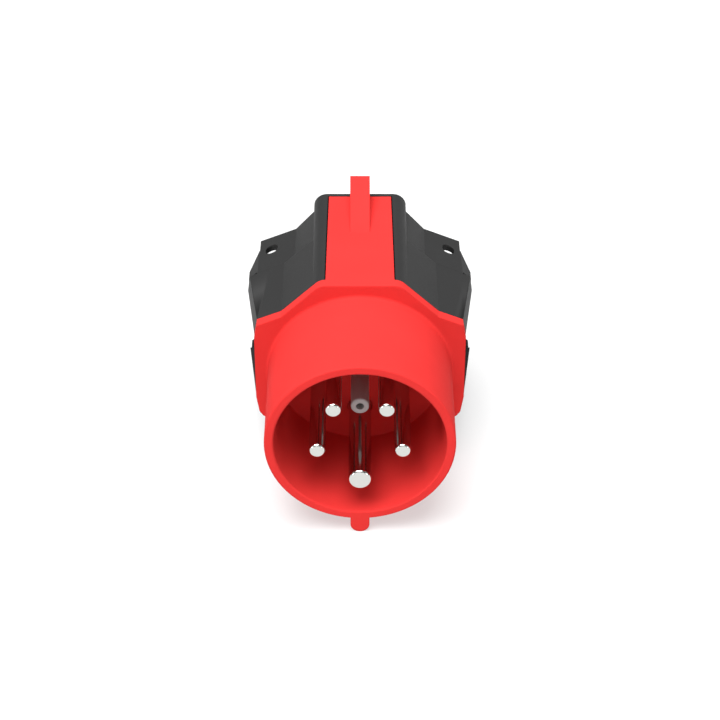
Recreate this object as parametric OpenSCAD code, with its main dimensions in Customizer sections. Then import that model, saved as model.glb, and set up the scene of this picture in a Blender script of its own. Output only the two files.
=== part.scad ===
// Industrial pin and sleeve plug, five poles, 16 ampere size.
// The origin is the centre of the shroud's rim. The contacts point along -Y, the cable leaves
// along +Y, +Z is up, and the earth pin and its key are at six o'clock. Sizes are millimetres.

/* [Shroud] */
// Outer diameter of the round shroud
shroud_d = 57; // [54:0.5:59]
// Wall of the shroud
shroud_wall = 2.75; // [2:0.25:3.5]
// Length of the shroud from its rim to the flange
shroud_l = 36; // [32:0.5:42]
// Chamfer on both edges of the rim
rim_chamfer = 0.35; // [0.1:0.05:0.8]
// Radius of the fillet where the shroud meets the flange
root_r = 1; // [0.4:0.1:1.5]
// Width of the key under the shroud
key_w = 5.8; // [4:0.2:8]
// Height of the key above the shroud
key_h = 5; // [4:0.25:6]
// Wall at the bottom of the cup that the contacts come through
base_t = 2.5; // [2:0.25:3.5]

/* [Contacts] */
// Diameter of the circle that the contacts stand on
pin_circle_d = 27; // [26:0.25:28]
// Diameter of a phase or neutral pin
pin_d = 5; // [4.5:0.25:5.5]
// Diameter of the earth pin
earth_d = 7; // [6:0.25:7.5]
// Distance of the phase and neutral tips behind the rim
pin_recess = 2.1; // [1:0.1:6]
// Distance of the earth tip behind the rim
earth_recess = 0; // [0:0.1:4]
// Chamfer on the tip of each pin
tip_chamfer = 0.35; // [0.1:0.05:0.8]
// Length of the collar that holds each pin in the carrier
collar_l = 3; // [2:0.25:4]
// Width of the step between a pin and its collar
collar_step = 1.5; // [1:0.1:1.6]
// Width of the small shoulder where a pin enters the cup's bottom
pin_shoulder = 0.25; // [0.1:0.05:0.5]

/* [Terminals] */
// Diameter of a phase or neutral terminal barrel
barrel_d = 7.2; // [6.6:0.1:7.6]
// Diameter of the earth terminal barrel
earth_barrel_d = 8.8; // [8.2:0.1:9.2]
// Length of the terminal barrels
barrel_l = 15; // [13:0.5:16]
// Diameter of the hole for a phase or neutral wire
wire_d = 4; // [3:0.1:4.4]
// Diameter of the hole for the earth wire
earth_wire_d = 5; // [4:0.1:5.4]
// Diameter of a phase or neutral terminal screw
terminal_screw_d = 4; // [3:0.1:4.2]
// Diameter of an earth terminal screw
earth_screw_d = 4.6; // [4:0.1:5]
// Length of the terminal screws
terminal_screw_l = 5; // [4:0.25:5.5]
// Distance between the two screws of one terminal
screw_pitch = 6; // [5.5:0.25:6.5]

/* [Carrier] */
// Thickness of the carrier's plate
carrier_t = 6; // [5.5:0.25:7]
// Rim of the carrier outside the earth barrel
carrier_rim = 2.9; // [2.5:0.1:3.2]
// Diameter of the hollow post at the centre
post_d = 5.6; // [5:0.1:7]
// Hole along the post
post_hole_d = 2.4; // [1.8:0.1:3]
// Distance of the post's end behind the rim
post_recess = 19; // [12:0.5:26]
// Rim of the terminal block outside the phase barrels
block_rim = 2; // [1.6:0.1:2.4]

/* [Flange] */
// Thickness of the flange
flange_t = 3.5; // [3:0.25:5]
// Height of the flange
flange_h = 65; // [63:0.5:68]
// Width of the flange
flange_w = 65; // [64:0.5:68]
// Across position of the edge where the sloping shoulder meets the wing
shoulder_x = 24.1; // [23.5:0.1:25]
// Height of the edge where the sloping shoulder meets the wing
shoulder_z = 21.1; // [20.5:0.1:22]
// Across position of the wing's upper corner on the flange
wing_x = 31.6; // [30.5:0.1:31.8]
// Height of the wing's upper corner on the flange
wing_z = 18; // [17.5:0.1:18.5]
// Height at which the flange's side turns vertical
side_z = 13.3; // [12.8:0.1:14]
// How much nearer the axis the flange's lower corners sit than the upper ones
lower_inset = 2.1; // [0:0.1:3]
// Depth of the slanted cut on each lower corner
lower_cut = 1.1; // [0:0.1:2]
// Length of the spigot that enters the rear housing
spigot_l = 6; // [4:0.5:8]
// Wall of the spigot
spigot_wall = 2.2; // [1.8:0.1:2.6]
// Thickness of the gasket round the spigot, along the axis
gasket_t = 1.6; // [1:0.1:2.2]
// Width of the gasket round the spigot
gasket_w = 1.5; // [1:0.1:2]

/* [Rear housing] */
// Wall of the rear housing
wall = 2.8; // [2.4:0.1:3]
// Length of the wide collar behind the flange
collar_len = 26.5; // [25:0.5:30]
// Length of the whole rear housing
housing_l = 46.3; // [45:0.5:50]
// Width of the spine that runs along the top and the bottom
spine_w = 29.4; // [28:0.2:29.4]
// Corner radius of the spine
spine_r = 4.2; // [4.2:0.1:5]
// Angle at which the top of the spine rises towards the cable
spine_rise = 2.8; // [1:0.1:3.5]
// Width of the body under the ears
waist_w = 42; // [41:0.5:44]
// Height at which the rear shoulder leaves the spine
rear_shoulder_z = 28.3; // [27.5:0.1:29]
// Half width at which the rear shoulder meets the ear
ear_root_x = 20.7; // [20.2:0.1:21]
// Half height of the hollow between the upper and lower skirts
hollow_z = 11.2; // [10:0.2:12]
// Depth of that hollow behind the flange's side
hollow_depth = 4.1; // [3:0.1:4.2]
// How far the skirts flare out beyond the flange
skirt_flare = 3.3; // [2:0.1:3.6]

/* [Ears] */
// Thickness of the ears
ear_t = 2.2; // [1.8:0.1:3]
// Angle at which the ears and the rear shoulders fall towards the cable
ear_fall = 2.6; // [0:0.1:4]
// Angle at which the edge turns down
ear_edge_slope = 45; // [35:1:50]
// Half width over the broad part of the ears
ear_reach = 35.4; // [34:0.1:36]
// Width of the ear's edge that turns down
ear_edge_w = 2.9; // [2:0.1:3.2]
// How far the narrow end of the ear stands back from the broad part
ear_taper = 3.1; // [2.5:0.1:4]
// Length of the narrow end
ear_tip_l = 5.8; // [4:0.2:7]
// Length of the slanted edge between the broad part and the narrow end
ear_slant_l = 9; // [7:0.5:10]
// Width of the eye in each ear
eye_w = 3.8; // [3:0.1:4]
// Length of the eye in each ear
eye_l = 5; // [4:0.1:6]
// Distance of the eye's centre from the rear face
eye_back = 7.8; // [7:0.1:10]
// Distance of the eye's centre from the ear's narrow edge
eye_inset = 3.9; // [3:0.1:4.5]
// Width of the notch between skirt and ear
notch_w = 1.1; // [0.5:0.1:1.5]
// Depth of the notch between skirt and ear
notch_depth = 2.4; // [1.5:0.1:3]

/* [Tongue] */
// Width of the red tongue at the flange
tongue_w = 20.9; // [18:0.1:21.5]
// Width of the red tongue at its end
tongue_end_w = 19.8; // [17:0.1:20.5]
// Thickness of the tongue
tongue_t = 2.2; // [1.6:0.1:2.4]
// Strip of the rear housing left behind the tongue
tongue_stop = 1.2; // [1:0.1:2]
// Width of the nose that the socket's lid catches
nose_w = 6.2; // [5:0.2:8]
// Height of the nose above the axis
nose_z = 42.3; // [39:0.1:43]
// Length of the nose's ramp
nose_ramp = 19; // [15:0.5:24]
// Flat on top of the nose
nose_flat = 0.9; // [0.5:0.1:2]

/* [Screws] */
// Diameter of the screws that hold the two housings together
housing_screw_d = 4; // [3.5:0.1:4.2]
// Half distance between these screws across the plug
housing_screw_x = 8.2; // [7.8:0.1:8.4]
// Length of these screws under the head
housing_screw_l = 25; // [22:0.5:26]
// Length of the bosses that these screws enter
boss_l = 11; // [9:0.5:13]
// Diameter of the screws that hold the carrier
carrier_screw_d = 3; // [2.5:0.1:3.2]
// Diameter of the circle that the carrier's screws stand on
carrier_screw_circle_d = 34; // [33:0.5:35]
// Diameter of the screw on the axis
centre_screw_d = 2.9; // [2.5:0.1:3]
// Length of the screw on the axis
centre_screw_l = 30; // [26:0.5:36]

/* [Cable gland] */
// Outer diameter of the gland's thread
gland_d = 25; // [24:0.5:26]
// Width across the flats of the gland's hexagon
gland_flats = 30; // [29:0.5:31]
// Length of the gland's hexagon
gland_hex_l = 5; // [4:0.5:7]
// Length of the thread under the gland nut
gland_thread_l = 8; // [7:0.5:10]
// Bore through the gland's body
gland_bore_d = 18; // [16:0.5:18.5]
// Length of the clamping fingers
finger_l = 6.5; // [5:0.5:8]
// Number of clamping fingers
finger_n = 12; // [8:2:16]
// Hole through the rubber seal
seal_hole_d = 12; // [9:0.5:14]
// Diameter of the gland nut over its ribs
nut_d = 31; // [30:0.5:33]
// Length of the gland nut
nut_l = 20; // [19:0.5:22]
// Number of grip ribs on the gland nut
nut_rib_n = 24; // [12:2:30]
// Hole in the mouth of the gland nut
nut_mouth_d = 17.2; // [15:0.2:18]
// Thickness of the slip ring inside the nut
slip_t = 1.2; // [0.8:0.1:1.6]
// Thickness of the flat gasket under the hexagon
gland_gasket_t = 1.5; // [1:0.1:2]
// Thickness of the lock nut inside the housing
locknut_t = 4; // [3:0.25:5]

/* [Fits] */
// Gap around the tongue, seen as a dark line
tongue_gap = 0.3; // [0.2:0.05:0.5]
// Radial gap round a pin in the walls it passes through
pin_fit = 0.1; // [0.05:0.01:0.2]
// Gap between moulded parts that plug into each other
mould_fit = 0.2; // [0.1:0.05:0.3]
// Radial gap of a screw in its tapped hole
thread_fit = 0.04; // [0.02:0.01:0.08]
// Gap between the nut, its slip ring and the fingers
slip_gap = 0.3; // [0.2:0.05:0.4]
// Radial gap between the thread of the nut and the thread of the gland
nut_fit = 0.06; // [0.03:0.01:0.09]

/* [Hidden] */
$fn = 96;
// Lap that joins two solids into one
eps = 0.01;
// How far a cut runs past the face that it opens
cut = 1;

red = [0.93, 0.20, 0.19];
dark = [0.27, 0.27, 0.28];
grey = [0.50, 0.48, 0.47];
nickel = [0.85, 0.85, 0.86];
steel = [0.62, 0.63, 0.65];
black = [0.09, 0.09, 0.10];

// How far the terminal block stands behind the barrels, and the nut behind the hexagon
block_lip = 1;
nut_stand = 0.5;

// Places along the axis, from the rim backwards
flange_y0 = shroud_l;
flange_y1 = flange_y0 + flange_t;
base_y0 = flange_y1 - base_t;
carrier_y1 = flange_y1 + carrier_t;
collar_y0 = carrier_y1 - collar_l;
barrel_y1 = carrier_y1 + barrel_l;
block_y1 = barrel_y1 + block_lip;
skirt_y1 = flange_y1 + collar_len;
rear_y = flange_y1 + housing_l;
gland_y0 = rear_y + gland_gasket_t;
hex_y1 = gland_y0 + gland_hex_l;
thread_y1 = hex_y1 + gland_thread_l;
finger_y1 = thread_y1 + finger_l;
slip_y0 = finger_y1 + slip_gap;
slip_y1 = slip_y0 + slip_t;
nut_y0 = hex_y1 + nut_stand;
nut_y1 = nut_y0 + nut_l;

shroud_r = shroud_d / 2;
cup_r = shroud_r - shroud_wall;
key_reach = shroud_r + key_h;
half_h = flange_h / 2;
half_w = flange_w / 2;
spine_x = spine_w / 2;
hollow_x = half_w - hollow_depth;
waist_x = waist_w / 2;
roof_z = half_h - tongue_t - wall;

ear_knee_x = ear_reach - ear_edge_w;
ear_tip_x = ear_reach - ear_taper;
eye_x = ear_tip_x - eye_inset;
ear_drop = (rear_y - skirt_y1) * tan(ear_fall);
ear_root_z = ear_top(ear_root_x);
skirt_bevel = 0.7;
skirt_lap = 1;
ear_lap = 3;
post_chamfer = 0.3;

// Floor behind a wire hole, place of a barrel's last screw and how far the screws stand out
barrel_floor = 2;
grub_end = 4;
barrel_mid = barrel_y1 - grub_end - screw_pitch / 2;
slot_margin = 0.5;
grub_stand = 2;

// The gland's thread, the fingers and seal under its nut, and the nut's inside
thread_depth = 0.9;
thread_end = 1;
finger_t = 1.1;
finger_slot = 1.1;
finger_root = 1;
finger_r = gland_d / 2 - thread_depth;
seal_r = finger_r - finger_t;
gland_end_y = rear_y - wall - locknut_t - thread_end;
seal_floor = 1;
seal_y0 = hex_y1 + seal_floor;
nut_bore_r = gland_d / 2 + nut_fit;
nut_rib_r = 0.9;
nut_dome_l = 5;
nut_lip = 2.2;

pin_circle_r = pin_circle_d / 2;
carrier_r = pin_circle_r + earth_barrel_d / 2 + carrier_rim;
block_r = pin_circle_r + barrel_d / 2 + block_rim;
earth_angle = 270;
pin_step = 72;
carrier_screw_angles = [90, 234, 306];

// Pan heads: their radius and height for each millimetre of screw
head_r_share = 0.9;
head_t_share = 0.6;
housing_screw_head_r = housing_screw_d * head_r_share;
seat_inset = 2;
housing_screw_seat = skirt_y1 + seat_inset;
boss_wall = 1.3;
boss_r = housing_screw_d / 2 + boss_wall;
housing_screw_z = roof_z - mould_fit - boss_r;
carrier_boss_r = carrier_screw_d / 2 + boss_wall;
carrier_screw_head_r = carrier_screw_d * head_r_share;
carrier_web = 2;
hole_floor = 1;
screw_end_gap = 0.5;
carrier_screw_l = carrier_y1 - base_y0 - hole_floor - screw_end_gap;
centre_screw_head_r = centre_screw_d * head_r_share;
centre_screw_sunk = 4;
centre_screw_seat = block_y1 - centre_screw_sunk;

// The sloping shoulder: it touches the spine's round and ends at the wing, facing shoulder_a at
// the distance shoulder_d from the axis
shoulder_c = [spine_x - spine_r, half_h - spine_r];
shoulder_p = [shoulder_x, shoulder_z];
shoulder_a = tangent_angle(shoulder_c, spine_r, shoulder_p);
shoulder_d = shoulder_p * [cos(shoulder_a), sin(shoulder_a)];

// The angle of the tangent point on a circle for the line that ends at point p
function tangent_angle(c, r, p) = atan2(p.y - c.y, p.x - c.x) + acos(r / norm(p - c));

// The point where two straight edges meet, each given by the way it faces and its distance
function meet(a1, d1, a2, d2) =
    [d1 * sin(a2) - d2 * sin(a1), d2 * cos(a1) - d1 * cos(a2)] / sin(a2 - a1);

// Points of an arc
function arc(c, r, a0, a1, n = 6) =
    [for (i = [0:n]) c + r * [cos(a0 + (a1 - a0) * i / n), sin(a0 + (a1 - a0) * i / n)]];

// A whole outline from its upper and lower right quarters, both listed from the middle to the side
function joined(u, l) = concat(
    u,
    [for (i = [len(l) - 1:-1:0]) [l[i].x, -l[i].y]],
    [for (p = l) [-p.x, -p.y]],
    [for (i = [len(u) - 1:-1:0]) [-u[i].x, u[i].y]]);

function whole(q) = joined(q, q);

// The quarter of the octagonal inside, drawn in by a distance
function inside_quarter(inset) = [
    meet(90, roof_z - inset, shoulder_a, shoulder_d - wall - inset),
    meet(shoulder_a, shoulder_d - wall - inset, 0, hollow_x - wall - inset)];

// Height of the wing's sloping top at a distance from the middle
function wing_top(x) =
    wing_z + (shoulder_z - wing_z) * (wing_x - x) / (wing_x - shoulder_x);

// Height of the ear's top at the rear face: the wing's slope goes on, lowered by the ears' fall
function ear_top(x) = wing_top(x) - ear_drop;

// A drawing in the X-Z plane carried along the axis from y0 to y1
module along_y(y0, y1) {
    translate([0, y1, 0]) rotate([90, 0, 0]) linear_extrude(y1 - y0) children();
}

// A profile of radius against place along the axis, turned round the axis
module turned() {
    rotate([-90, 0, 0]) rotate_extrude() children();
}

module rod(d, y0, y1) {
    along_y(y0, y1) circle(d = d);
}

module four_ways() {
    for (sx = [0, 1], sz = [0, 1]) {
        mirror([sx, 0, 0]) mirror([0, 0, sz]) children();
    }
}

// Children moved to a contact's place on the pin circle, with +X pointing outwards
module at_contact(i) {
    rotate([0, -(earth_angle + i * pin_step), 0]) translate([pin_circle_r, 0, 0]) children();
}

module at_housing_screws() {
    for (sx = [-1, 1], sz = [-1, 1]) {
        translate([sx * housing_screw_x, 0, sz * housing_screw_z]) children();
    }
}

module at_carrier_screws() {
    for (a = carrier_screw_angles) {
        rotate([0, -a, 0]) translate([carrier_screw_circle_d / 2, 0, 0]) children();
    }
}

// Tilts about the front edge of the spine's top, so that the tongue and the spine rise together
module risen() {
    translate([0, flange_y1, half_h]) rotate([spine_rise, 0, 0]) children();
}

// Tilts about the rear face, so that the ears and the rear shoulders fall together
module fallen() {
    translate([0, rear_y, 0]) rotate([-ear_fall, 0, 0]) translate([0, -rear_y, 0]) children();
}

// ---- Front housing ----

// The lower corners sit nearer the axis than the upper ones, and each is cut off at a slant
module flange_outline() {
    top = concat(arc(shoulder_c, spine_r, 90, shoulder_a), [shoulder_p]);
    low_z = wing_z - lower_inset;
    polygon(joined(
        concat(top, [[wing_x, wing_z], [half_w, side_z]]),
        concat(top, [
            [wing_x - lower_cut, low_z + lower_cut / 2], [wing_x, low_z - lower_cut],
            [half_w, side_z - 2 * lower_inset]])));
}

module tongue_plan(gap) {
    l = (housing_l - tongue_stop) / cos(spine_rise);
    polygon([
        [-tongue_w / 2 - gap, -flange_t], [tongue_w / 2 + gap, -flange_t],
        [tongue_w / 2 + gap, 0], [tongue_end_w / 2 + gap, l + gap - tongue_gap],
        [-tongue_end_w / 2 - gap, l + gap - tongue_gap], [-tongue_w / 2 - gap, 0]]);
}

module nose() {
    y1 = rear_y - tongue_stop - tongue_gap;
    y0 = y1 - nose_flat - nose_ramp;
    z0 = half_h + (y0 - flange_y1) * tan(spine_rise);
    translate([nose_w / 2, 0, 0]) rotate([90, 0, -90]) mirror([1, 0, 0]) linear_extrude(nose_w)
        polygon([[y0, z0], [y0, z0 - tongue_t / 2], [y1, z0 - tongue_t / 2], [y1, nose_z],
                 [y1 - nose_flat, nose_z]]);
}

module front_housing() {
    color(red) difference() {
        union() {
            turned() polygon([
                [cup_r + rim_chamfer, 0], [shroud_r - rim_chamfer, 0], [shroud_r, rim_chamfer],
                [shroud_r, flange_y0 + eps], [cup_r, flange_y0 + eps], [cup_r, rim_chamfer]]);
            turned() difference() {
                translate([shroud_r - eps, flange_y0 - root_r]) square(root_r + eps);
                translate([shroud_r + root_r, flange_y0 - root_r]) circle(r = root_r);
            }
            along_y(0, flange_y0 + eps) {
                translate([0, -key_reach + key_w / 2]) circle(d = key_w);
                translate([-key_w / 2, -key_reach + key_w / 2])
                    square([key_w, key_h - key_w / 2 + shroud_wall / 2]);
            }
            difference() {
                along_y(flange_y0, flange_y1) flange_outline();
                rod(2 * cup_r, flange_y0 - eps, flange_y1 + eps);
            }
            rod(2 * cup_r + eps, base_y0, flange_y1);
            difference() {
                along_y(flange_y1 - eps, flange_y1 + spigot_l)
                    polygon(whole(inside_quarter(mould_fit)));
                along_y(flange_y1 - 2 * eps, flange_y1 + spigot_l + eps)
                    polygon(whole(inside_quarter(mould_fit + spigot_wall)));
            }
            at_housing_screws() rod(2 * boss_r, flange_y1 - eps, flange_y1 + boss_l);
            at_carrier_screws() rod(2 * carrier_boss_r, flange_y1 - eps, carrier_y1 - carrier_web);
            risen() translate([0, 0, -tongue_t]) linear_extrude(tongue_t) tongue_plan(0);
            nose();
        }
        for (i = [1:4]) {
            at_contact(i) rod(pin_d + 2 * (pin_shoulder + pin_fit), base_y0 - cut, flange_y1 + cut);
        }
        at_contact(0)
            rod(earth_d + 2 * (pin_shoulder + pin_fit), base_y0 - cut, flange_y1 + cut);
        rod(post_d + 2 * mould_fit, base_y0 - cut, flange_y1 + cut);
        at_housing_screws()
            rod(housing_screw_d + 2 * thread_fit, flange_y1, flange_y1 + boss_l + cut);
        at_carrier_screws()
            rod(carrier_screw_d + 2 * thread_fit, base_y0 + hole_floor, carrier_y1);
    }
}

// ---- Rear housing ----

module spine_top() {
    intersection() {
        along_y(flange_y1, rear_y) translate([-half_w, 0]) square([flange_w, 2 * half_h]);
        risen() translate([0, -flange_t, 0]) along_y(0, housing_l + 2 * flange_t) {
            translate([-spine_x, -half_h - flange_t]) square([spine_w, half_h + flange_t - spine_r]);
            translate([-spine_x + spine_r, -spine_r - eps])
                square([spine_w - 2 * spine_r, spine_r + eps]);
            for (s = [-1, 1]) {
                translate([s * (spine_x - spine_r), -spine_r]) circle(r = spine_r);
            }
        }
    }
}

module spine_bottom() {
    along_y(flange_y1, rear_y) {
        translate([-spine_x, -key_reach + spine_r]) square([spine_w, key_reach]);
        translate([-spine_x + spine_r, -key_reach])
            square([spine_w - 2 * spine_r, spine_r + eps]);
        for (s = [-1, 1]) {
            translate([s * (spine_x - spine_r), -key_reach + spine_r]) circle(r = spine_r);
        }
    }
}

// One of the four skirts: the wing's edge, which flares out from the flange to its blunt end
module skirt() {
    end_x = half_w + skirt_flare;
    hull() {
        along_y(flange_y1, flange_y1 + eps) polygon([
            shoulder_p, [wing_x, wing_z], [half_w, side_z], [half_w, hollow_z],
            [hollow_x - skirt_lap, hollow_z]]);
        along_y(skirt_y1 - eps, skirt_y1) polygon([
            shoulder_p, [end_x - skirt_bevel, wing_top(end_x - skirt_bevel)], [end_x, hollow_z],
            [hollow_x - skirt_lap, hollow_z]]);
    }
}

module ear_section() {
    knee_z = ear_top(ear_knee_x);
    edge_z = knee_z - (ear_reach - ear_knee_x) * tan(ear_edge_slope);
    polygon([
        [ear_root_x - ear_lap, ear_root_z], [ear_root_x, ear_root_z], [ear_knee_x, knee_z],
        [ear_reach, edge_z], [ear_reach, edge_z - ear_t], [ear_knee_x, knee_z - ear_t],
        [ear_root_x, ear_root_z - ear_t], [ear_root_x - ear_lap, ear_root_z - ear_t]]);
}

module ear_plan() {
    y0 = skirt_y1 - eps;
    y2 = rear_y - ear_tip_l;
    y1 = y2 - ear_slant_l;
    difference() {
        polygon([[0, y0], [ear_reach, y0], [ear_reach, y1], [ear_tip_x, y2], [ear_tip_x, rear_y],
                 [0, rear_y]]);
        translate([eye_x, rear_y - eye_back]) {
            for (s = [-1, 1]) {
                translate([0, s * (eye_l - eye_w) / 2]) circle(d = eye_w);
            }
            square([eye_w, eye_l - eye_w + eps], center = true);
        }
    }
}

module rear_shoulder_section() {
    polygon([
        [0, rear_shoulder_z], [spine_x - eps, rear_shoulder_z], [ear_root_x, ear_root_z],
        [waist_x, ear_root_z - ear_t], [waist_x, -hollow_z], [0, -hollow_z]]);
}

// A quarter of the body behind the collar, with its ear
module ear() {
    intersection() {
        fallen() along_y(skirt_y1 - ear_t, rear_y + ear_t) {
            ear_section();
            rear_shoulder_section();
        }
        translate([0, 0, -cut]) linear_extrude(half_h + cut) ear_plan();
    }
}

// A screw tube inside the rear housing: slim round the shank and wide round the sunk head
module screw_tubes() {
    at_housing_screws() {
        rod(2 * boss_r, flange_y1 + boss_l + mould_fit, housing_screw_seat);
        rod(2 * (housing_screw_head_r + boss_wall), skirt_y1 - wall, rear_y);
    }
}

module rear_housing() {
    notch_x = half_w + skirt_flare - skirt_bevel - notch_depth;
    color(dark) difference() {
        union() {
            difference() {
                union() {
                    along_y(flange_y1, skirt_y1) polygon(whole(concat(
                        arc(shoulder_c, spine_r, 90, shoulder_a),
                        [shoulder_p, [hollow_x, wing_top(hollow_x)]])));
                    spine_top();
                    spine_bottom();
                    four_ways() skirt();
                    four_ways() ear();
                }
                // the open inside, wide round the terminals and narrow where the wires gather
                along_y(flange_y1 - cut, skirt_y1 - wall) polygon(whole(inside_quarter(0)));
                along_y(skirt_y1 - wall - eps, rear_y - wall) {
                    square([2 * (waist_x - wall), 2 * (ear_root_z - wall)], center = true);
                    square([2 * (spine_x - wall), 2 * roof_z], center = true);
                }
            }
            screw_tubes();
        }
        // the seat of the gasket
        along_y(flange_y1 - cut, flange_y1 + gasket_t) polygon(whole(inside_quarter(-gasket_w)));
        // the channel that the tongue lies in
        risen() translate([0, 0, -tongue_t - tongue_gap / 2]) linear_extrude(tongue_t * 2)
            tongue_plan(tongue_gap);
        // the notches between the skirts and the ears
        four_ways() translate([notch_x, skirt_y1 - notch_w / 2, hollow_z - cut])
            cube([notch_depth * 2, notch_w, shoulder_z]);
        rod(gland_d + 2 * mould_fit, rear_y - wall - cut, rear_y + cut);
        at_housing_screws() {
            rod(housing_screw_d + 2 * mould_fit, flange_y1 + boss_l, housing_screw_seat + cut);
            rod(2 * (housing_screw_head_r + mould_fit), housing_screw_seat, rear_y + cut);
        }
    }
}

module housing_gasket() {
    color(black) difference() {
        along_y(flange_y1, flange_y1 + gasket_t) polygon(whole(inside_quarter(-gasket_w)));
        along_y(flange_y1 - cut, flange_y1 + gasket_t + cut)
            polygon(whole(inside_quarter(mould_fit)));
    }
}

// ---- Carrier, terminal block and their screws ----

module contact_carrier() {
    color(grey) difference() {
        union() {
            rod(2 * carrier_r, flange_y1, carrier_y1);
            turned() polygon([
                [0, post_recess], [post_d / 2 - post_chamfer, post_recess],
                [post_d / 2, post_recess + post_chamfer], [post_d / 2, flange_y1 + eps],
                [0, flange_y1 + eps]]);
        }
        for (i = [0:4]) {
            d = i == 0 ? earth_d : pin_d;
            at_contact(i) {
                rod(d + 2 * (pin_shoulder + pin_fit), flange_y1 - cut, carrier_y1);
                rod(d + 2 * (collar_step + mould_fit), collar_y0, carrier_y1 + cut);
            }
        }
        at_carrier_screws() {
            rod(2 * (carrier_boss_r + mould_fit), flange_y1 - cut,
                carrier_y1 - carrier_web + mould_fit);
            rod(carrier_screw_d + 2 * mould_fit, flange_y1, carrier_y1 + cut);
        }
        rod(post_hole_d, post_recess - cut, flange_y1);
        rod(centre_screw_d + 2 * thread_fit, centre_screw_seat - centre_screw_l - screw_end_gap,
            carrier_y1 + cut);
    }
}

module terminal_block() {
    slot_l = screw_pitch + terminal_screw_d + 2 * slot_margin;
    color(grey) difference() {
        rod(2 * block_r, carrier_y1, block_y1);
        for (i = [0:4]) {
            d = i == 0 ? earth_barrel_d : barrel_d;
            w = i == 0 ? earth_screw_d : terminal_screw_d;
            at_contact(i) {
                rod(d + 2 * mould_fit, carrier_y1 - cut, block_y1 + cut);
                translate([0, barrel_mid - slot_l / 2, -w / 2 - slot_margin])
                    cube([block_r, slot_l, w + 2 * slot_margin]);
            }
        }
        at_carrier_screws()
            rod(2 * (carrier_screw_head_r + 2 * mould_fit), carrier_y1 - cut, block_y1 + cut);
        rod(centre_screw_d + 2 * mould_fit, carrier_y1 - cut, block_y1);
        rod(2 * (centre_screw_head_r + 2 * mould_fit), centre_screw_seat, block_y1 + cut);
    }
}

// A pan head screw along the axis: its head stands behind the seat and its shank in front of it.
// The head is straight for the first part of its height, and a cross is cut in its crown.
module pan_head_screw(d, l, seat) {
    head_r = d * head_r_share;
    head_t = d * head_t_share;
    straight = 0.6 * head_t;
    crown_r = 0.8 * head_r;
    cross = [1.2 * head_r, head_t, 0.18 * d];
    difference() {
        union() {
            rod(d, seat - l, seat + eps);
            turned() polygon([
                [0, seat], [head_r, seat], [head_r, seat + straight], [crown_r, seat + head_t],
                [0, seat + head_t]]);
        }
        for (a = [0, 90]) {
            translate([0, seat + head_t, 0]) rotate([0, a, 0]) cube(cross, center = true);
        }
    }
}

module centre_screw() {
    color(steel) pan_head_screw(centre_screw_d, centre_screw_l, centre_screw_seat);
}

module carrier_screws() {
    color(steel) at_carrier_screws()
        pan_head_screw(carrier_screw_d, carrier_screw_l, carrier_y1);
}

module housing_screws() {
    color(steel) at_housing_screws()
        pan_head_screw(housing_screw_d, housing_screw_l, housing_screw_seat);
}

// ---- Contacts ----

// A turned contact: pin, shoulder, collar, and a barrel with a wire hole and two tapped holes
module contact(d, tip, barrel, wire, screw) {
    r = d / 2;
    wire_y0 = carrier_y1 + barrel_floor;
    difference() {
        turned() polygon([
            [0, tip], [r - tip_chamfer, tip], [r, tip + tip_chamfer], [r, base_y0],
            [r + pin_shoulder, base_y0], [r + pin_shoulder, collar_y0],
            [r + collar_step, collar_y0], [r + collar_step, carrier_y1],
            [barrel / 2, carrier_y1], [barrel / 2, barrel_y1], [wire / 2, barrel_y1],
            [wire / 2, wire_y0], [0, wire_y0 - wire / 4]]);
        for (s = [-1, 1]) {
            translate([0, barrel_mid + s * screw_pitch / 2, 0]) rotate([0, 90, 0])
                cylinder(r = screw / 2 + thread_fit, h = barrel);
        }
    }
}

module phase_contact(i) {
    color(nickel) at_contact(i)
        contact(pin_d, pin_recess, barrel_d, wire_d, terminal_screw_d);
}

module phase_pin_1() {
    phase_contact(1);
}

module phase_pin_2() {
    phase_contact(2);
}

module phase_pin_3() {
    phase_contact(3);
}

module neutral_pin() {
    phase_contact(4);
}

module earth_pin() {
    color(nickel) at_contact(0)
        contact(earth_d, earth_recess, earth_barrel_d, earth_wire_d, earth_screw_d);
}

// The pair of slotted grub screws of one terminal, pointing outwards from its wire hole
module grub_pair(d, barrel) {
    x1 = barrel / 2 + grub_stand;
    slot_depth = d / 4;
    slot_w = d / 5;
    for (s = [-1, 1]) {
        translate([0, barrel_mid + s * screw_pitch / 2, 0]) difference() {
            translate([x1 - terminal_screw_l, 0, 0]) rotate([0, 90, 0])
                cylinder(d = d, h = terminal_screw_l);
            translate([x1 - slot_depth, -slot_w / 2, -d]) cube([d, slot_w, 2 * d]);
        }
    }
}

module terminal_screws() {
    color(steel) for (i = [1:4]) {
        at_contact(i) grub_pair(terminal_screw_d, barrel_d);
    }
}

module earth_terminal_screws() {
    color(steel) at_contact(0) grub_pair(earth_screw_d, earth_barrel_d);
}

// ---- Cable gland ----

module hexagon(flats) {
    circle(r = flats / 2 / cos(30), $fn = 6);
}

module gland_body() {
    color(dark) difference() {
        union() {
            rod(gland_d, gland_end_y, thread_y1);
            along_y(gland_y0, hex_y1) hexagon(gland_flats);
            rod(2 * finger_r, thread_y1 - eps, finger_y1);
        }
        rod(gland_bore_d, gland_end_y - cut, finger_y1 + cut);
        rod(2 * (seal_r + pin_fit), seal_y0, finger_y1 + cut);
        for (i = [0:finger_n / 2 - 1]) {
            rotate([0, i * 360 / finger_n, 0])
                translate([-gland_d, thread_y1 + finger_root, -finger_slot / 2])
                    cube([2 * gland_d, finger_l, finger_slot]);
        }
    }
}

module gland_gasket() {
    color(black) difference() {
        rod(gland_flats, rear_y, gland_y0);
        rod(gland_d + 2 * mould_fit, rear_y - cut, gland_y0 + cut);
    }
}

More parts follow.
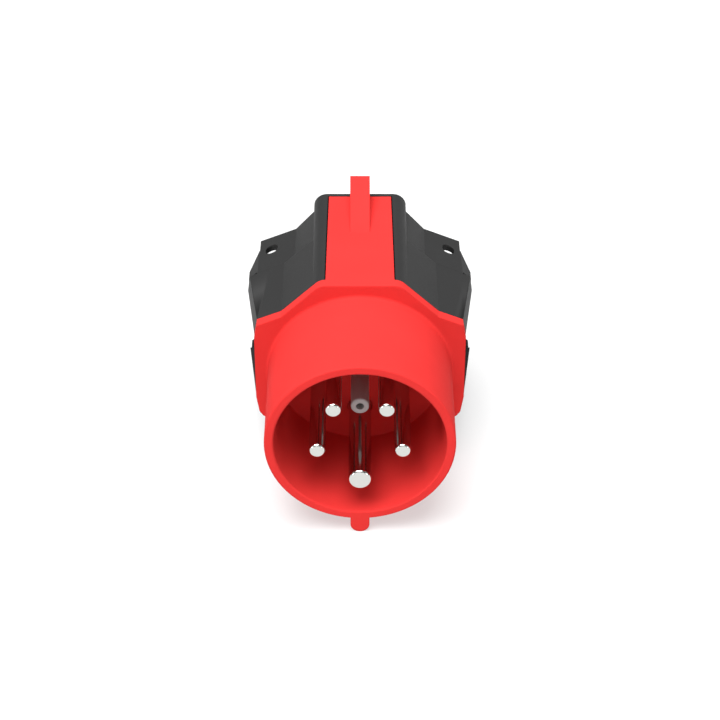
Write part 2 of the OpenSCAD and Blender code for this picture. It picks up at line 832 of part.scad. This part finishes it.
module gland_locknut() {
    color(dark) difference() {
        along_y(rear_y - wall - locknut_t, rear_y - wall) hexagon(gland_flats);
        rod(gland_d + 2 * thread_fit, gland_end_y, rear_y);
    }
}

module gland_seal() {
    color(black) difference() {
        rod(2 * seal_r, seal_y0, finger_y1 - slip_gap);
        rod(seal_hole_d, hex_y1, finger_y1 + cut);
    }
}

module slip_ring() {
    color(grey) difference() {
        rod(2 * (nut_bore_r - slip_gap), slip_y0, slip_y1);
        rod(nut_mouth_d, slip_y0 - cut, slip_y1 + cut);
    }
}

module gland_nut() {
    r = nut_d / 2 - nut_rib_r / 2;
    mouth_r = nut_mouth_d / 2;
    dome_y0 = nut_y1 - nut_dome_l;
    shelf_y = slip_y1 + slip_gap;
    color(dark) difference() {
        union() {
            turned() polygon(concat(
                [[mouth_r, nut_y0], [r - rim_chamfer, nut_y0], [r, nut_y0 + rim_chamfer]],
                [for (a = [0:15:75])
                    [mouth_r + nut_lip + (r - mouth_r - nut_lip) * cos(a),
                     dome_y0 + nut_dome_l * sin(a)]],
                [[mouth_r + nut_lip, nut_y1], [mouth_r, nut_y1]]));
            for (i = [0:nut_rib_n - 1]) {
                rotate([0, i * 360 / nut_rib_n, 0]) translate([r - nut_rib_r / 2, 0, 0])
                    rod(2 * nut_rib_r, nut_y0 + 2 * rim_chamfer, dome_y0 - rim_chamfer);
            }
        }
        rod(2 * nut_bore_r, nut_y0 - cut, shelf_y);
    }
}

front_housing();
rear_housing();
housing_gasket();
contact_carrier();
terminal_block();
phase_pin_1();
phase_pin_2();
phase_pin_3();
neutral_pin();
earth_pin();
terminal_screws();
earth_terminal_screws();
centre_screw();
carrier_screws();
housing_screws();
gland_body();
gland_gasket();
gland_locknut();
gland_seal();
slip_ring();
gland_nut();
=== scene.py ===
import bmesh
import bpy
import math
import numpy as np
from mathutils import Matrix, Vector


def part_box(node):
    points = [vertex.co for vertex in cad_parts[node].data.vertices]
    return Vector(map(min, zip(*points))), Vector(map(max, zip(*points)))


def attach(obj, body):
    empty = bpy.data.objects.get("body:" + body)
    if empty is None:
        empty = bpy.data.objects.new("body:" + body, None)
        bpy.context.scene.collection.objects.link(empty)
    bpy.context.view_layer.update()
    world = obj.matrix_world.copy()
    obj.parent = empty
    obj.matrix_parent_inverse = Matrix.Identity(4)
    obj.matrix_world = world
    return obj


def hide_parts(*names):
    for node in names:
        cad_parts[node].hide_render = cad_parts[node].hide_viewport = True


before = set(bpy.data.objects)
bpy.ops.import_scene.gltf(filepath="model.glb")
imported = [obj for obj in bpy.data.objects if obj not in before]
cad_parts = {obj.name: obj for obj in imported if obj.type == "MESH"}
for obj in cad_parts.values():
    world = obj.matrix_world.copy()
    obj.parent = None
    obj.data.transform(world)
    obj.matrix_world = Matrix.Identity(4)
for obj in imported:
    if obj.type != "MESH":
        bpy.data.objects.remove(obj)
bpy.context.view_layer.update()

# ---- The view ----
# The plug stands on a plain pale floor and is seen from the front and above through a long lens.
# Nothing here is part of the plug: a camera, a floor that glows a little like a light table, and
# five wide soft lights.
scene = bpy.context.scene
scene.view_settings.view_transform = "Standard"

camera_place = (0.0, -0.464668, 0.367512)
camera_tilt = 54.1
camera = bpy.data.objects.new("camera", bpy.data.cameras.new("camera"))
scene.collection.objects.link(camera)
camera.location = camera_place
camera.rotation_euler = (math.radians(camera_tilt), 0.0, 0.0)
camera.data.lens = 100.0
camera.data.sensor_width = 36.0
camera.data.clip_start = 0.01
camera.data.clip_end = 100.0
scene.camera = camera


def linear(hex_colour):
    """A hex sRGB colour as linear red, green, blue and an alpha of one: each channel is divided by
    12.92 below 0.04045, and otherwise raised to 2.4 after adding 0.055 and dividing by 1.055."""
    s = np.array([int(hex_colour[i:i + 2], 16) for i in (1, 3, 5)]) / 255.0
    rgb = np.where(s <= 0.04045, s / 12.92, ((s + 0.055) / 1.055) ** 2.4)
    return (*rgb.tolist(), 1.0)


def add_node(material, kind, links=(), **settings):
    """Adds one node. Settings name its inputs or its own properties, and each link is a pair of
    an output of an earlier node and the name or number of the input here that it feeds."""
    node = material.node_tree.nodes.new(kind)
    for name, value in settings.items():
        if name in node.inputs:
            node.inputs[name].default_value = value
        else:
            setattr(node, name, value)
    for source, target in links:
        material.node_tree.links.new(source, node.inputs[target])
    return node


def new_material(name):
    """An empty node material and its surface shader."""
    material = bpy.data.materials.new(name)
    material.use_nodes = True
    return material, material.node_tree.nodes["Principled BSDF"]


white = (1.0, 1.0, 1.0, 1.0)
floor_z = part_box("front_housing")[0].z
floor_half = 15.0
floor_mesh = bpy.data.meshes.new("floor")
floor_mesh.from_pydata(
    [(-floor_half, -floor_half, floor_z), (floor_half, -floor_half, floor_z),
     (floor_half, floor_half, floor_z), (-floor_half, floor_half, floor_z)],
    [], [(0, 1, 2, 3)])
floor = bpy.data.objects.new("floor", floor_mesh)
scene.collection.objects.link(floor)

# A matt white panel, lit a little from below, so that the plug's own shadow stays pale.
light_table, shader = new_material("white_light_table")
shader.inputs["Base Color"].default_value = linear("#979797")
shader.inputs["Roughness"].default_value = 0.9
shader.inputs["Specular IOR Level"].default_value = 0.0
shader.inputs["Emission Color"].default_value = white
shader.inputs["Emission Strength"].default_value = 0.55
floor_mesh.materials.append(light_table)

world = bpy.data.worlds.new("studio")
world.use_nodes = True
world.node_tree.nodes["Background"].inputs["Color"].default_value = white
world.node_tree.nodes["Background"].inputs["Strength"].default_value = 0.2
scene.world = world

plug_middle = (0.0, 0.04, 0.0)


def soft_box(name, place, width, depth, watts):
    """An area light of that width and depth that faces the plug's middle."""
    lamp = bpy.data.lights.new(name, "AREA")
    lamp.shape = "RECTANGLE"
    lamp.size = width
    lamp.size_y = depth
    lamp.energy = watts
    holder = bpy.data.objects.new(name, lamp)
    scene.collection.objects.link(holder)
    holder.location = place
    aim = np.array(plug_middle) - np.array(place)
    flat = math.hypot(aim[0], aim[1])
    holder.rotation_euler = (math.atan2(flat, -aim[2]), 0.0, math.atan2(-aim[0], aim[1]))


soft_box("top_box", (-0.35, -0.6, 3.0), 2.4, 2.8, 240.0)
soft_box("front_left_box", (-2.3, -2.1, 0.6), 1.2, 0.8, 18.0)
soft_box("front_right_box", (2.3, -2.1, 0.6), 1.2, 0.8, 12.0)
soft_box("front_box", (0.0, -3.2, 0.6), 3.0, 1.0, 14.0)
soft_box("rear_box", (2.7, 2.4, 1.2), 2.4, 1.8, 12.0)

# ---- Front housing ----
# The round shroud with its key, the flange, and the tongue with the lid nose are one moulding of
# signal red polyamide. It comes out of a spark-eroded mould, so it has a smooth satin skin, and
# all of its outer edges have small radii.
red_colour = "#C8312F"
edge_radius = 0.0006

# Corners that agree to a ten-thousandth of a millimetre are one corner. Turns between faces are in
# degrees: a flat face turns by next to nothing, and a round one by 9 or 10 from facet to facet.
weld_decimals = 7
flat_turn = 0.2
round_turn = 13.0


def whole_faces(node, name, sharp=round_turn):
    """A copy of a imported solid. Its loose triangles are joined at their shared corners, flat faces
    that were cut into triangles are made whole, and edges that turn by less than the sharp angle
    in degrees are shaded as part of one round surface."""
    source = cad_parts[node].data
    corners = np.empty(len(source.vertices) * 3)
    source.vertices.foreach_get("co", corners)
    points, place = np.unique(
        np.round(corners.reshape(-1, 3), weld_decimals), axis=0, return_inverse=True)
    faces = np.empty(len(source.loops), dtype=np.int32)
    source.loops.foreach_get("vertex_index", faces)
    faces = place.ravel()[faces].reshape(-1, 3)
    good = (faces != np.roll(faces, -1, axis=1)).all(axis=1)
    mesh = bpy.data.meshes.new(name)
    mesh.from_pydata(points.tolist(), [], faces[good].tolist())
    work = bmesh.new()
    work.from_mesh(mesh)
    bmesh.ops.dissolve_limit(
        work, angle_limit=math.radians(flat_turn), verts=work.verts, edges=work.edges,
        use_dissolve_boundaries=False)
    work.to_mesh(mesh)
    work.free()
    return shaded(mesh, name, sharp)


def shaded(mesh, name, sharp=round_turn):
    """Makes a mesh a piece. Its faces are shaded smooth up to the sharp angle, and each corner
    takes its direction from the largest face there, so that flat faces stay flat."""
    mesh.shade_smooth()
    mesh.set_sharp_from_angle(angle=math.radians(sharp))
    piece = bpy.data.objects.new(name, mesh)
    scene.collection.objects.link(piece)
    flat = piece.modifiers.new("flat_faces", "WEIGHTED_NORMAL")
    flat.keep_sharp = True
    return piece


# The clouds are patches about 17 mm across, and the grain stands a tenth of a millimetre at most.
clouds_per_metre = 60.0
cloud_depth = 0.03
rough_change = 0.04
grain_height = 0.0001


def moulded_plastic(name, colour, rough, grain, shine=0.5, radius=edge_radius):
    """Satin moulded plastic: one colour with a very slight cloudy change in depth, and a skin whose
    fine grain softens its reflections. The mould's real grain is about 0.05 mm and would not show,
    so it is drawn at the given size in millimetres. Edges catch the light over the radius of the
    mould's corners. The refraction is polyamide's, and the other plastics here are close to it."""
    material, shader = new_material(name)
    place = add_node(material, "ShaderNodeTexCoord").outputs["Object"]
    clouds = add_node(material, "ShaderNodeTexNoise", [(place, "Vector")],
                      Scale=clouds_per_metre, Detail=3.0)
    base = np.array(linear(colour)[:3])
    shade = add_node(material, "ShaderNodeValToRGB", [(clouds.outputs["Fac"], "Fac")])
    low, high = shade.color_ramp.elements
    low.position = 0.3
    low.color = (*(base * (1.0 - cloud_depth)).tolist(), 1.0)
    high.position = 0.7
    high.color = (*(base * (1.0 + cloud_depth)).clip(0, 1).tolist(), 1.0)
    skin = add_node(material, "ShaderNodeTexNoise", [(place, "Vector")],
                    Scale=1000.0 / grain, Detail=2.0)
    dull = add_node(material, "ShaderNodeMapRange", [(skin.outputs["Fac"], "Value")],
                    **{"To Min": rough - rough_change, "To Max": rough + rough_change})
    corner = add_node(material, "ShaderNodeBevel", samples=6, Radius=radius)
    bump = add_node(material, "ShaderNodeBump",
                    [(skin.outputs["Fac"], "Height"), (corner.outputs["Normal"], "Normal")],
                    Strength=0.04, Distance=grain_height)
    material.node_tree.links.new(shade.outputs["Color"], shader.inputs["Base Color"])
    material.node_tree.links.new(dull.outputs["Result"], shader.inputs["Roughness"])
    material.node_tree.links.new(bump.outputs["Normal"], shader.inputs["Normal"])
    shader.inputs["IOR"].default_value = 1.53
    shader.inputs["Specular IOR Level"].default_value = shine
    return material


def dress(piece, material, body, slot, *nodes):
    """Gives a piece its material, the body it moves with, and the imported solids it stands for."""
    piece.data.materials.append(material)
    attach(piece, body)
    if nodes:
        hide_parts(*nodes)


red_polyamide = moulded_plastic("moulded_red_polyamide", red_colour, 0.68, 0.7, 0.008)
dress(whole_faces("front_housing", "front_shell"), red_polyamide, "housing", "red_housing",
      "front_housing")

# ---- Rear housing ----
# The winged shell that the terminals sit in is a moulding of dark grey polyamide, slid over the
# spigot of the red part and held by four long screws. Its skin shines a little more than the red.
dark_colour = "#292929"
dark_polyamide = moulded_plastic("moulded_dark_grey_polyamide", dark_colour, 0.55, 0.8, 0.12)
dress(whole_faces("rear_housing", "rear_shell"), dark_polyamide, "housing", "dark_housing",
      "rear_housing")

# ---- Contacts ----
# Five turned pins of nickel plated brass: the earth pin is thicker and longer than the others.
# Each tip is rounded over, so that it finds its way into the socket. The plating is bright and
# smooth, with faint rings left by the lathe, drawn at 0.8 mm because the real ones would not show.
nickel_colour = "#C9CBC7"
tip_round = 0.001
tip_crown = 0.00003
tip_steps = 10
tip_slack = 0.000001
nickel, shader = new_material("nickel_plated_brass")
place = add_node(nickel, "ShaderNodeTexCoord").outputs["Object"]
rings = add_node(nickel, "ShaderNodeTexWave", [(place, "Vector")], Scale=400.0,
                 Distortion=0.0, bands_direction="Y")
dull = add_node(nickel, "ShaderNodeMapRange", [(rings.outputs["Fac"], "Value")],
                **{"To Min": 0.1, "To Max": 0.16})
bump = add_node(nickel, "ShaderNodeBump", [(rings.outputs["Fac"], "Height")],
                Strength=0.03, Distance=0.0001)
nickel.node_tree.links.new(dull.outputs["Result"], shader.inputs["Roughness"])
nickel.node_tree.links.new(bump.outputs["Normal"], shader.inputs["Normal"])
shader.inputs["Base Color"].default_value = linear(nickel_colour)
shader.inputs["Metallic"].default_value = 1.0


def points_of(mesh):
    """The corners of a mesh, one row of x, y and z each."""
    points = np.empty(len(mesh.vertices) * 3)
    mesh.vertices.foreach_get("co", points)
    return points.reshape(-1, 3)


def rounded_pin(node, name):
    """A copy of a pin whose chamfered tip is rounded over. The faces of the chamfer and the tip are
    left out, and rings take their place. Ring k, counted from the shaft, is at the angle
    a = 90 degrees * k / steps of a quarter circle: it is drawn in by round * (1 - cos a), and it
    lies round * (1 - sin a) behind the tip. The face inside the last ring has a slight crown."""
    packed = whole_faces(node, name)
    points = points_of(packed.data)
    corners = np.empty(len(packed.data.loops), dtype=np.int32)
    packed.data.loops.foreach_get("vertex_index", corners)
    starts = np.empty(len(packed.data.polygons), dtype=np.int32)
    packed.data.polygons.foreach_get("loop_start", starts)
    bpy.data.objects.remove(packed)

    tip = points[:, 1].min()
    shaft_end = points[points[:, 1] < tip + tip_round, 1].max() + tip_slack
    on_shaft = np.maximum.reduceat(points[corners, 1], starts) >= shaft_end
    faces = [face for face, kept in zip(np.split(corners, starts[1:]), on_shaft) if kept]
    used = np.unique(np.concatenate(faces))
    faces = [np.searchsorted(used, face).tolist() for face in faces]
    points = points[used]

    low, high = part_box(node)
    centre_x, centre_z = (low.x + high.x) / 2, (low.z + high.z) / 2
    rim = np.flatnonzero(points[:, 1] < shaft_end)
    angle = np.arctan2(points[rim, 2] - centre_z, points[rim, 0] - centre_x)
    rim = rim[np.argsort(angle)]
    angle = np.sort(angle)
    shaft_radius = np.hypot(points[rim, 0] - centre_x, points[rim, 2] - centre_z).mean()
    bend = np.linspace(0.0, math.pi / 2.0, tip_steps + 1)[:, None]
    radius = shaft_radius - tip_round * (1.0 - np.cos(bend))
    back = tip + tip_crown + tip_round * (1.0 - np.sin(bend))
    rings = np.stack(np.broadcast_arrays(
        centre_x + radius * np.cos(angle), back, centre_z + radius * np.sin(angle)), axis=-1)
    points[rim] = rings[0]
    new_points = np.vstack([points, rings[1:].reshape(-1, 3), [(centre_x, tip, centre_z)]])

    count = len(rim)
    crown = len(new_points) - 1
    ids = np.vstack([rim, np.arange(len(points), crown).reshape(tip_steps, count)])
    turned = np.roll(ids, -1, axis=1)
    quads = np.stack([ids[:-1], turned[:-1], turned[1:], ids[1:]], axis=-1).reshape(-1, 4)
    fan = np.stack([ids[-1], turned[-1], np.full(count, crown)], axis=-1)
    mesh = bpy.data.meshes.new(name)
    mesh.from_pydata(new_points.tolist(), [], faces + quads.tolist() + fan.tolist())
    return shaded(mesh, name)


for node in ("phase_pin_1", "phase_pin_2", "phase_pin_3", "neutral_pin", "earth_pin"):
    dress(rounded_pin(node, node.replace("pin", "contact")), nickel, "housing", "contacts", node)

# ---- Carrier ----
# A plate moulded from grey thermoset holds the collars of the pins, with a hollow post in the middle
# of the cup. The terminal block behind it is of the same stuff, and one screw clamps them together.
# Thermoset comes out of its mould dull and even, with tighter corners than the housings.
grey_thermoset = moulded_plastic("moulded_grey_thermoset", "#979494", 0.5, 0.7, 0.3, 0.0002)
for node, name in (("contact_carrier", "carrier_plate"), ("terminal_block", "block")):
    dress(whole_faces(node, name), grey_thermoset, "housing", "carrier", node)

# ---- Screws ----
# The screws of the terminals, the carrier and the rear housing are of zinc plated steel, rolled and
# tumbled, so that they are bright but not polished. The tumbling's fine dents are drawn at 0.4 mm
# because the real ones would not show.
zinc, shader = new_material("zinc_plated_steel")
place = add_node(zinc, "ShaderNodeTexCoord").outputs["Object"]
tumbled = add_node(zinc, "ShaderNodeTexNoise", [(place, "Vector")], Scale=2500.0, Detail=2.0)
dull = add_node(zinc, "ShaderNodeMapRange", [(tumbled.outputs["Fac"], "Value")],
                **{"To Min": 0.28, "To Max": 0.4})
zinc.node_tree.links.new(dull.outputs["Result"], shader.inputs["Roughness"])
shader.inputs["Base Color"].default_value = linear("#B9BCC0")
shader.inputs["Metallic"].default_value = 1.0


def coat(node, material):
    """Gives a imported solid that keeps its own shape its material."""
    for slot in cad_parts[node].material_slots:
        slot.material = material


for node in ("terminal_screws", "earth_terminal_screws", "carrier_screws"):
    coat(node, zinc)
for node, name in (("centre_screw", "post_screw"), ("housing_screws", "rear_screws")):
    dress(whole_faces(node, name), zinc, "housing", "screws", node)

# ---- Seals ----
# The flat gaskets are cut from sheet and the gland's seal is moulded, all of soft black rubber with a
# dull skin. Nothing holds them but the parts on each side, which squeeze them.
rubber = moulded_plastic("black_rubber", "#141414", 0.75, 0.9, 0.3)
coat("housing_gasket", rubber)
for node, name in (("gland_gasket", "flat_gasket"), ("gland_seal", "cable_seal")):
    dress(whole_faces(node, name), rubber, "housing", "rubber", node)

# ---- Cable gland ----
# The gland's body, its lock nut and the ribbed nut are moulded from black polyamide with a low sheen.
# A slip ring of natural acetal, which is smooth and milky, lies under the nut so that it turns
# without dragging the fingers. The nut's dome turns by up to 20 degrees from facet to facet.
gland_radius = 0.0003
dome_turn = 30.0
black_polyamide = moulded_plastic("moulded_black_polyamide", "#222223", 0.5, 0.8, 0.4, gland_radius)
natural_acetal = moulded_plastic("natural_acetal", "#C9C6BC", 0.35, 0.8, 0.5)
dress(whole_faces("gland_locknut", "lock_nut"), black_polyamide, "housing", "gland",
      "gland_locknut")
dress(whole_faces("gland_nut", "dome_nut", dome_turn), black_polyamide, "gland_nut", "gland",
      "gland_nut")

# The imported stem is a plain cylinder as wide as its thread, so here it is drawn in to the thread's
# core. The thread is right-handed, 1.5 mm a turn, and fades in and out over a third of a turn.
stem_radius = 0.0125
stem_low, stem_high = 0.0923, 0.1003
stem_slack = 0.00005
core_radius, crest_radius = 0.01165, 0.01245
pitch = 0.0015
plain_low, plain_high = 0.0007, 0.0008
foot_depth = 0.00025
foot_half, crest_half = 0.0006, 0.000225
steps_a_turn = 48
fades_a_turn = 3.0
least_rise = 0.1
thread_turn = 30.0

stem = whole_faces("gland_body", "gland_stem")
points = points_of(stem.data)
across = np.hypot(points[:, 0], points[:, 2])
on_stem = (abs(across - stem_radius) < stem_slack) & (points[:, 1] > stem_low - stem_slack)
on_stem &= points[:, 1] < stem_high + stem_slack
points[on_stem, 0::2] *= core_radius / stem_radius
stem.data.vertices.foreach_set("co", points.ravel())
stem.data.update()


def thread(name, low, high):
    """A ridge swept along a helix: at the angle a from +Z towards +X, its middle is at
    y = low + pitch * a / turn. It is a trapezoid, 1.2 mm wide where it stands 0.25 mm inside the
    core and 0.45 mm wide at its crest, whose height above its foot grows from a tenth to the full
    height at each end. Both ends are capped."""
    steps = round((high - low) / pitch * steps_a_turn)
    turn = np.linspace(0.0, (high - low) / pitch, steps + 1)
    rise = np.clip(np.minimum(turn, turn[-1] - turn) * fades_a_turn, least_rise, 1.0)
    core = core_radius - foot_depth
    crest = core + (crest_radius - core) * rise
    foot = np.full_like(crest, core)
    angle = turn * 2.0 * math.pi
    middle = low + turn * pitch
    radius = np.stack([foot, crest, crest, foot], axis=1)
    along = middle[:, None] + np.array([-foot_half, -crest_half, crest_half, foot_half])
    grid = np.stack(
        [radius * np.sin(angle)[:, None], along, radius * np.cos(angle)[:, None]], axis=-1)
    ids = np.arange(grid.shape[0] * 4).reshape(-1, 4)
    side = np.roll(ids, -1, axis=1)
    quads = np.stack([ids[:-1], ids[1:], side[1:], side[:-1]], axis=-1).reshape(-1, 4)
    caps = [ids[0].tolist(), ids[-1][::-1].tolist()]
    mesh = bpy.data.meshes.new(name)
    mesh.from_pydata(grid.reshape(-1, 3).tolist(), [], quads.tolist() + caps)
    return shaded(mesh, name, thread_turn)


dress(stem, black_polyamide, "housing", "gland", "gland_body")
dress(thread("gland_thread", stem_low + plain_low, stem_high - plain_high), black_polyamide,
      "housing", "gland")
dress(whole_faces("slip_ring", "sliding_ring"), natural_acetal, "slip_ring", "slip_plastic",
      "slip_ring")
